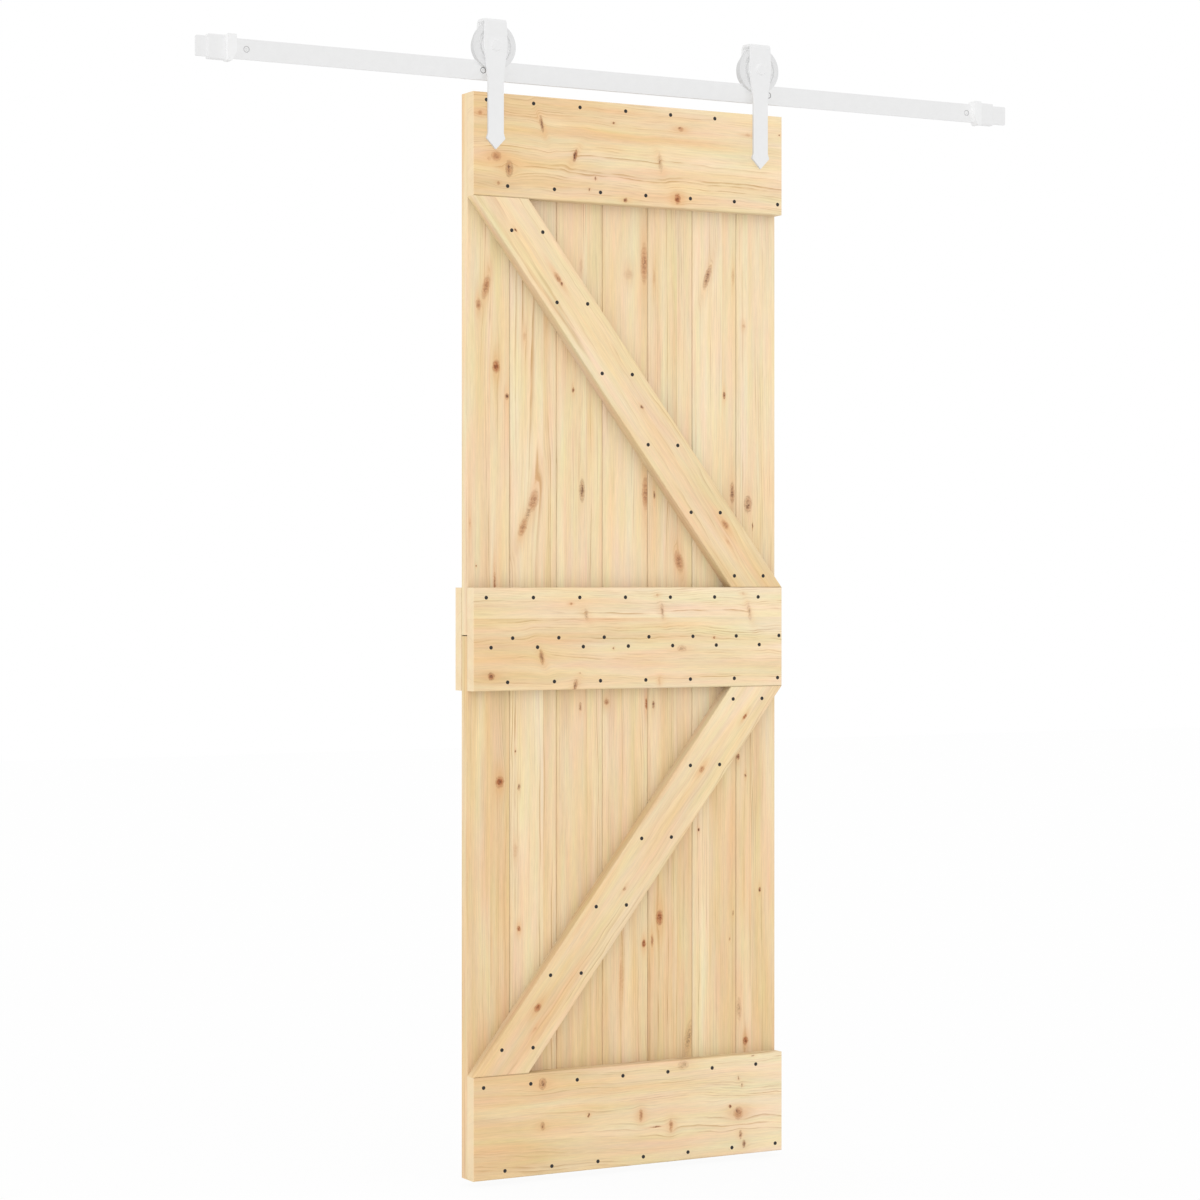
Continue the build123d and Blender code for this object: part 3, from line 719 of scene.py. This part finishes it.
def makeCoatGroup():
    # Orange peel: two sizes of noise as height, and the wider one in the gloss and the tone.
    inputs = [("Colour", "Color"), ("Gloss", "Float"), ("Peel", "Float")]
    outputs = [("Colour", "Color"), ("Roughness", "Float"), ("Height", "Float")]
    tree, given, result = newGroup("powderCoat", inputs, outputs)
    here = tree.nodes.new("ShaderNodeTexCoord").outputs["Object"]
    peel = cloud(tree, here, scale=coatValues["peelScale"])
    wide = cloud(tree, here, detail=3.0, scale=coatValues["wideScale"])
    tone = greyOf(tree, calc(tree, "MULTIPLY_ADD", wide, *coatValues["tone"]))
    put(tree, blendColour(tree, 1.0, given["Colour"], tone, "MULTIPLY"), result["Colour"])
    rough = calc(tree, "ADD", given["Gloss"], calc(tree, "MULTIPLY_ADD", wide, *coatValues["gloss"]))
    put(tree, rough, result["Roughness"])
    put(tree, calc(tree, "MULTIPLY", peel, given["Peel"]), result["Height"])
    return tree


coatGroup = makeCoatGroup()


def coated(name, colour, gloss, peel, coat=0.0, paintedSideShade=None):
    # The last argument, where it is given, is painted shade: how light the faces round an axle are painted
    # beside the flat ones.
    material, tree, shader = newMaterial(name)
    coatNow = useGroup(tree, coatGroup, Colour=colour, Gloss=gloss, Peel=peel)
    colourNow = coatNow["Colour"]
    # Painted shade: faces round the axle are darkened beside the flat ones.
    if paintedSideShade is not None:
        normal = tree.nodes.new("ShaderNodeTexCoord").outputs["Normal"]
        side = rise(tree, calc(tree, "ABSOLUTE", split(tree, normal)[1]), *coatValues["paintedSideEdges"])
        shade = tuple(part * paintedSideShade for part in colour[:3]) + (1.0,)
        colourNow = blendColour(tree, side, colourNow, shade)
    # Painted light: light that leaves a coat for a neighbour takes a near white in place of the coat's
    # colour, to lighten the hollows between strap, wheel and bar.
    scattered = scatteredRays(tree)
    paintedBounceMix = calc(tree, "MULTIPLY", scattered, coatValues["paintedBounceShare"])
    base = blendColour(tree, paintedBounceMix, colourNow, coatValues["paintedBounceTone"])
    put(tree, base, shader.inputs["Base Color"])
    # Painted glow: the coat emits a little light, seen only by rays on their way to a neighbour.
    paintedGlowColour = blendColour(tree, scattered, coatValues["none"], coatValues["paintedGlow"])
    put(tree, paintedGlowColour, shader.inputs["Emission Color"])
    shader.inputs["Emission Strength"].default_value = 1.0
    material.cycles.emission_sampling = "NONE"
    tree.links.new(coatNow["Roughness"], shader.inputs["Roughness"])
    shader.inputs["Coat Weight"].default_value = coat
    shader.inputs["Coat Roughness"].default_value = coatValues["clearRoughness"]
    bumped(tree, shader, coatNow["Height"], coatValues["bumpStrength"], coatValues["bumpDepth"])
    return material


trackCoat = coated("track_white", srgb(237, 237, 237), gloss=0.42, peel=1.0, coat=0.05)
whiteCoat = coated("strap_white", srgb(238, 238, 238), gloss=0.42, peel=1.0, coat=0.05)
# The wheels' faces round the axle get painted shade.
wheelCoat = coated("wheel_white", srgb(227, 227, 227), gloss=0.36, peel=0.6, coat=0.1, paintedSideShade=0.86)
boltCoat = coated("bolt_white", srgb(234, 234, 234), gloss=0.40, peel=0.5, coat=0.05)
bumperWhite = coated("bumper_white", srgb(243, 243, 243), gloss=0.62, peel=0.4)
# Painted shade for the seat rings round the wall bolts, a deeper and a lighter copy.
seatShadeDeep = coated("painted_seat_shade_deep", srgb(104, 104, 104), gloss=0.55, peel=0.5)
seatShadeLight = coated("painted_seat_shade_light", srgb(190, 190, 190), gloss=0.50, peel=0.5)
nailBlack = coated("nail_black", srgb(28, 24, 22), gloss=0.48, peel=0.8)
finishes = (
    (trackCoat, ("track_bar", "left_stop_clamp", "right_stop_clamp",
                 "outer_left_spacer", "inner_left_spacer", "inner_right_spacer", "outer_right_spacer")),
    (whiteCoat, ("left_hanger", "right_hanger", "left_axle", "right_axle")),
    (wheelCoat, ("left_wheel", "right_wheel")),
    (boltCoat, ("left_axle_nut", "right_axle_nut")),
    (bumperWhite, ("left_stop_bumper", "right_stop_bumper")),
)
for material, names in finishes:
    for name in names:
        dress(name, material)
print("stage: steel finished")


# Nails and wall bolts

def lathe(profile, centres, segments):
    # Round pieces about Y: profile is (radius, y) from pole to pole, and point (i, j) of each
    # is its centre plus (radius i * cos angle j, y i, radius i * sin angle j).
    radius, depth = np.array(profile).T
    inner = slice(1, len(radius) - 1)
    angle = np.arange(segments) * 2 * math.pi / segments
    circle = np.stack((np.cos(angle), np.zeros(segments), np.sin(angle)), axis=-1)
    rings = radius[inner, None, None] * circle[None] + depth[inner, None, None] * np.array((0, 1, 0))
    poles = np.array(((0, depth[0], 0), (0, depth[-1], 0)))
    one = np.concatenate((rings.reshape(-1, 3), poles))
    rows, columns = np.meshgrid(np.arange(len(radius) - 3), np.arange(segments), indexing="ij")
    after = (columns + 1) % segments
    first, second = rows * segments, (rows + 1) * segments
    sides = np.stack((first + columns, second + columns, second + after, first + after), axis=-1)
    step = np.arange(segments)
    following = (step + 1) % segments
    front = len(one) - 2
    last = (len(radius) - 3) * segments
    caps = np.concatenate((
        np.stack((np.full(segments, front), step, following), axis=-1),
        np.stack((np.full(segments, front + 1), last + following, last + step), axis=-1)))
    points = (np.array(centres)[:, None, :] + one[None]).reshape(-1, 3)
    shift = np.arange(len(centres))[:, None, None] * len(one)
    return points, (sides.reshape(1, -1, 4) + shift).reshape(-1, 4), (caps[None] + shift).reshape(-1, 3)


def meshPiece(name, points, quads, triangles, material, body):
    mesh = bpy.data.meshes.new(name)
    mesh.from_pydata(points.tolist(), [], quads.tolist() + triangles.tolist())
    mesh.polygons.foreach_set("use_smooth", np.ones(len(mesh.polygons), bool))
    mesh.materials.append(material)
    mesh.validate()
    piece = bpy.data.objects.new(name, mesh)
    bpy.context.scene.collection.objects.link(piece)
    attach(piece, body)
    return piece


nails = {
    "radius": 3.8,                      # millimetres, as all values here
    "rise": 0.7,                        # how far the dome stands out of the wood
    "sunk": 0.8,
    "dome": (                           # shares of the radius and of the rise
        (0, 1), (0.45, 0.95), (0.78, 0.72), (0.96, 0.3), (1, 0)),
    "shank": 0.9,                       # share of the radius
    "segments": 20,
    "rows": (                           # height above the foot, first from the left, spacing
        (2085, 27.7, 102.6), (1921, 73.5, 102.6), (1124.5, 27.2, 102.6), (1046, 84.5, 101.3),
        (1028, 37.6, 101.3), (960.5, 73.5, 102.6), (179.5, 21.5, 102.6), (15.5, 67.8, 102.6)),
    "perRow": 7,
    "upperPairs": (                     # left nail of each pair, from the left and above the foot
        (82.4, 1836), (181.9, 1700.5), (282.5, 1565), (386.6, 1427), (485.5, 1294), (586.7, 1167)),
    "lowerPairs": (
        (583.8, 919), (483.9, 788), (371.9, 646.5), (269.1, 516.5), (167.5, 388), (61.1, 249.5)),
    "pairWidth": 68,
}


def nailPlaces():
    # Seven to a row on the rails, and pairs side by side down each brace.
    places = [(first + index * spacing, height)
              for height, first, spacing in nails["rows"] for index in range(nails["perRow"])]
    for x, z in nails["upperPairs"] + nails["lowerPairs"]:
        places += [(x, z), (x + nails["pairWidth"], z)]
    return [(leafLeft + x * mm, leafFront, leafFoot + z * mm) for x, z in places]


def makeNails():
    # A low dome on the wood over a short shank: the profile runs from the crown to the foot.
    radius, dome, sunk = (nails[key] * mm for key in ("radius", "rise", "sunk"))
    profile = [(share * radius, -height * dome) for share, height in nails["dome"]]
    profile += [(nails["shank"] * radius, sunk), (0, sunk)]
    places = nailPlaces()
    piece = meshPiece("nail_heads", *lathe(profile, places, nails["segments"]), nailBlack, "door")
    print("stage:", len(places), "nails")
    return piece


wallBolts = {                            # millimetres
    "headRadius": 4.9, "below": 0.3, "neck": 3.6, "neckDepth": 2.6, "socket": 1.6, "socketDepth": 0.8,
    "edge": 0.3, "shank": 6.0, "segments": 36,
    # seat is the profile of the thin sheet of painted shade in each bolt's seat.
    "seat": ((0, 1.9), (4.28, 1.9), (6.08, 0.12), (6.1, 0.14), (4.3, 1.96), (0, 1.97)),
}


def makeWallBolts():
    # Flat heads sunk in the bar, each with a round socket, on a thin sheet that lines its seat as painted
    # shade: deeper at the two inner bolts and lighter at the outer ones.
    size = {key: wallBolts[key] * mm for key in wallBolts if key not in ("seat", "segments")}
    centres = [(sum(corner.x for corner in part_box(side + "_spacer")) / 2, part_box("track_bar")[0].y, 0)
               for side in ("outer_left", "inner_left", "inner_right", "outer_right")]
    top, edge, socket = size["below"], size["edge"], size["socket"]
    floor, foot = top + size["socketDepth"], top + size["shank"]
    profile = [(0, floor), (socket, floor), (socket, top + edge), (socket + edge, top),
               (size["headRadius"] - edge, top), (size["headRadius"], top + edge),
               (size["neck"], top + size["neckDepth"]), (size["neck"], foot), (0, foot)]
    piece = meshPiece("wall_bolts", *lathe(profile, centres, wallBolts["segments"]), boltCoat, "track")
    seat = [(radius * mm, y * mm) for radius, y in wallBolts["seat"]]
    for name, own, coat in (("inner_seat_shade_liners", centres[1:3], seatShadeDeep),
                            ("outer_seat_shade_liners", centres[::3], seatShadeLight)):
        meshPiece(name, *lathe(seat, own, wallBolts["segments"]), coat, "track")
    print("stage:", len(centres), "wall bolts")


makeNails()
makeWallBolts()


# Camera, floor and light

camera = {
    "place": (-2.672, -5.36, 1.1587),    # metres from the leaf's lower left front corner
    "look": (0.4821, 0.8761, 0.0),       # level, into the picture
    "lens": 93.31,
    "shiftUp": -0.0167,
    "sensor": 36,                        # millimetres
    "farEnd": 60,                        # metres to the farthest thing drawn
}
cameraData = bpy.data.cameras.new("photo_camera")
cameraData.lens = camera["lens"]
cameraData.sensor_width = camera["sensor"]
cameraData.shift_y = camera["shiftUp"]
cameraData.clip_end = camera["farEnd"]
cameraObject = bpy.data.objects.new("photo_camera", cameraData)
cameraObject.location = Vector((leafLeft, leafFront, leafFoot)) + Vector(camera["place"])
cameraObject.rotation_euler = Vector(camera["look"]).to_track_quat("-Z", "Y").to_euler()
bpy.context.scene.collection.objects.link(cameraObject)
bpy.context.scene.camera = cameraObject

stageValues = {
    "floorDrop": 12 * mm,                # below the leaf's foot
    "floorHalf": 14.0,                   # half its width
    "floorCells": 8,                     # along each side
    "floorRoughness": 0.9,
    "floorColour": (0.90, 0.90, 0.90, 1.0),
    "floorVeil": 0.94,                   # share of plain white that the camera sees on the floor
    "skyStrength": 0.95,
}
lamps = {                                # sun strength, width of its disk in degrees, direction of travel
    "key_light": dict(strength=0.14, width=60, travel=(-0.35, 0.93, -0.10)),
    "side_light": dict(strength=0.32, width=70, travel=(0.93, 0.30, -0.10)),
}


def seenRays(tree):
    # 1 for what the camera sees, also by reflection or through glass, and 0 for light that
    # is on its way to a surface.
    rays = tree.nodes.new("ShaderNodeLightPath").outputs
    return calc(tree, "ADD", calc(tree, "ADD", rays["Is Camera Ray"], rays["Is Glossy Ray"]),
                rays["Is Transmission Ray"], clamp=True)


def mixShaders(tree, share, first, second):
    node = tree.nodes.new("ShaderNodeMixShader")
    put(tree, share, node.inputs[0])
    tree.links.new(first, node.inputs[1])
    tree.links.new(second, node.inputs[2])
    return node.outputs[0]


def makeFloor():
    # A flat grid, white for the camera except where the object shades it, and clear from below.
    half, z = stageValues["floorHalf"], leafFoot - stageValues["floorDrop"]
    cells = stageValues["floorCells"]
    steps = np.linspace(-half, half, cells + 1)
    x, y = np.meshgrid(steps, steps, indexing="xy")
    points = np.stack((x.ravel(), y.ravel(), np.full(x.size, z)), axis=-1)
    row, column = np.meshgrid(np.arange(cells), np.arange(cells), indexing="ij")
    corner = (row * len(steps) + column).ravel()
    above = corner + len(steps)
    quads = np.stack((corner, corner + 1, above + 1, above), axis=-1)
    mesh = bpy.data.meshes.new("floor")
    mesh.from_pydata(points.tolist(), [], quads.tolist())
    floor = bpy.data.objects.new("floor", mesh)
    bpy.context.scene.collection.objects.link(floor)
    material, tree, shader = newMaterial("pale_floor")
    shader.inputs["Base Color"].default_value = stageValues["floorColour"]
    shader.inputs["Roughness"].default_value = stageValues["floorRoughness"]
    shader.inputs["Specular IOR Level"].default_value = 0.0
    white = tree.nodes.new("ShaderNodeEmission").outputs[0]
    veil = calc(tree, "MULTIPLY", seenRays(tree), stageValues["floorVeil"])
    top = mixShaders(tree, veil, shader.outputs[0], white)
    below = tree.nodes.new("ShaderNodeNewGeometry").outputs["Backfacing"]
    clear = tree.nodes.new("ShaderNodeBsdfTransparent").outputs[0]
    tree.links.new(mixShaders(tree, below, top, clear), tree.nodes["Material Output"].inputs["Surface"])
    mesh.materials.append(material)


def makeSky():
    # Even light from all round, and plain white where the camera sees it.
    world = bpy.data.worlds.new("soft_studio")
    world.use_nodes = True
    tree = world.node_tree
    background = tree.nodes["Background"]
    background.inputs["Color"].default_value = (1, 1, 1, 1)
    level = stageValues["skyStrength"]
    put(tree, calc(tree, "MULTIPLY_ADD", seenRays(tree), 1 - level, level), background.inputs["Strength"])
    bpy.context.scene.world = world


def makeLamps():
    # Wide suns, so that the light is as strong at the foot as at the track.
    for name, lamp in lamps.items():
        data = bpy.data.lights.new(name, "SUN")
        data.angle = math.radians(lamp["width"])
        data.energy = lamp["strength"]
        lampObject = bpy.data.objects.new(name, data)
        lampObject.rotation_euler = Vector(lamp["travel"]).to_track_quat("-Z", "Y").to_euler()
        bpy.context.scene.collection.objects.link(lampObject)


makeFloor()
makeSky()
makeLamps()
bpy.context.scene.view_settings.view_transform = "Standard"
print("stage: camera, floor and light set")
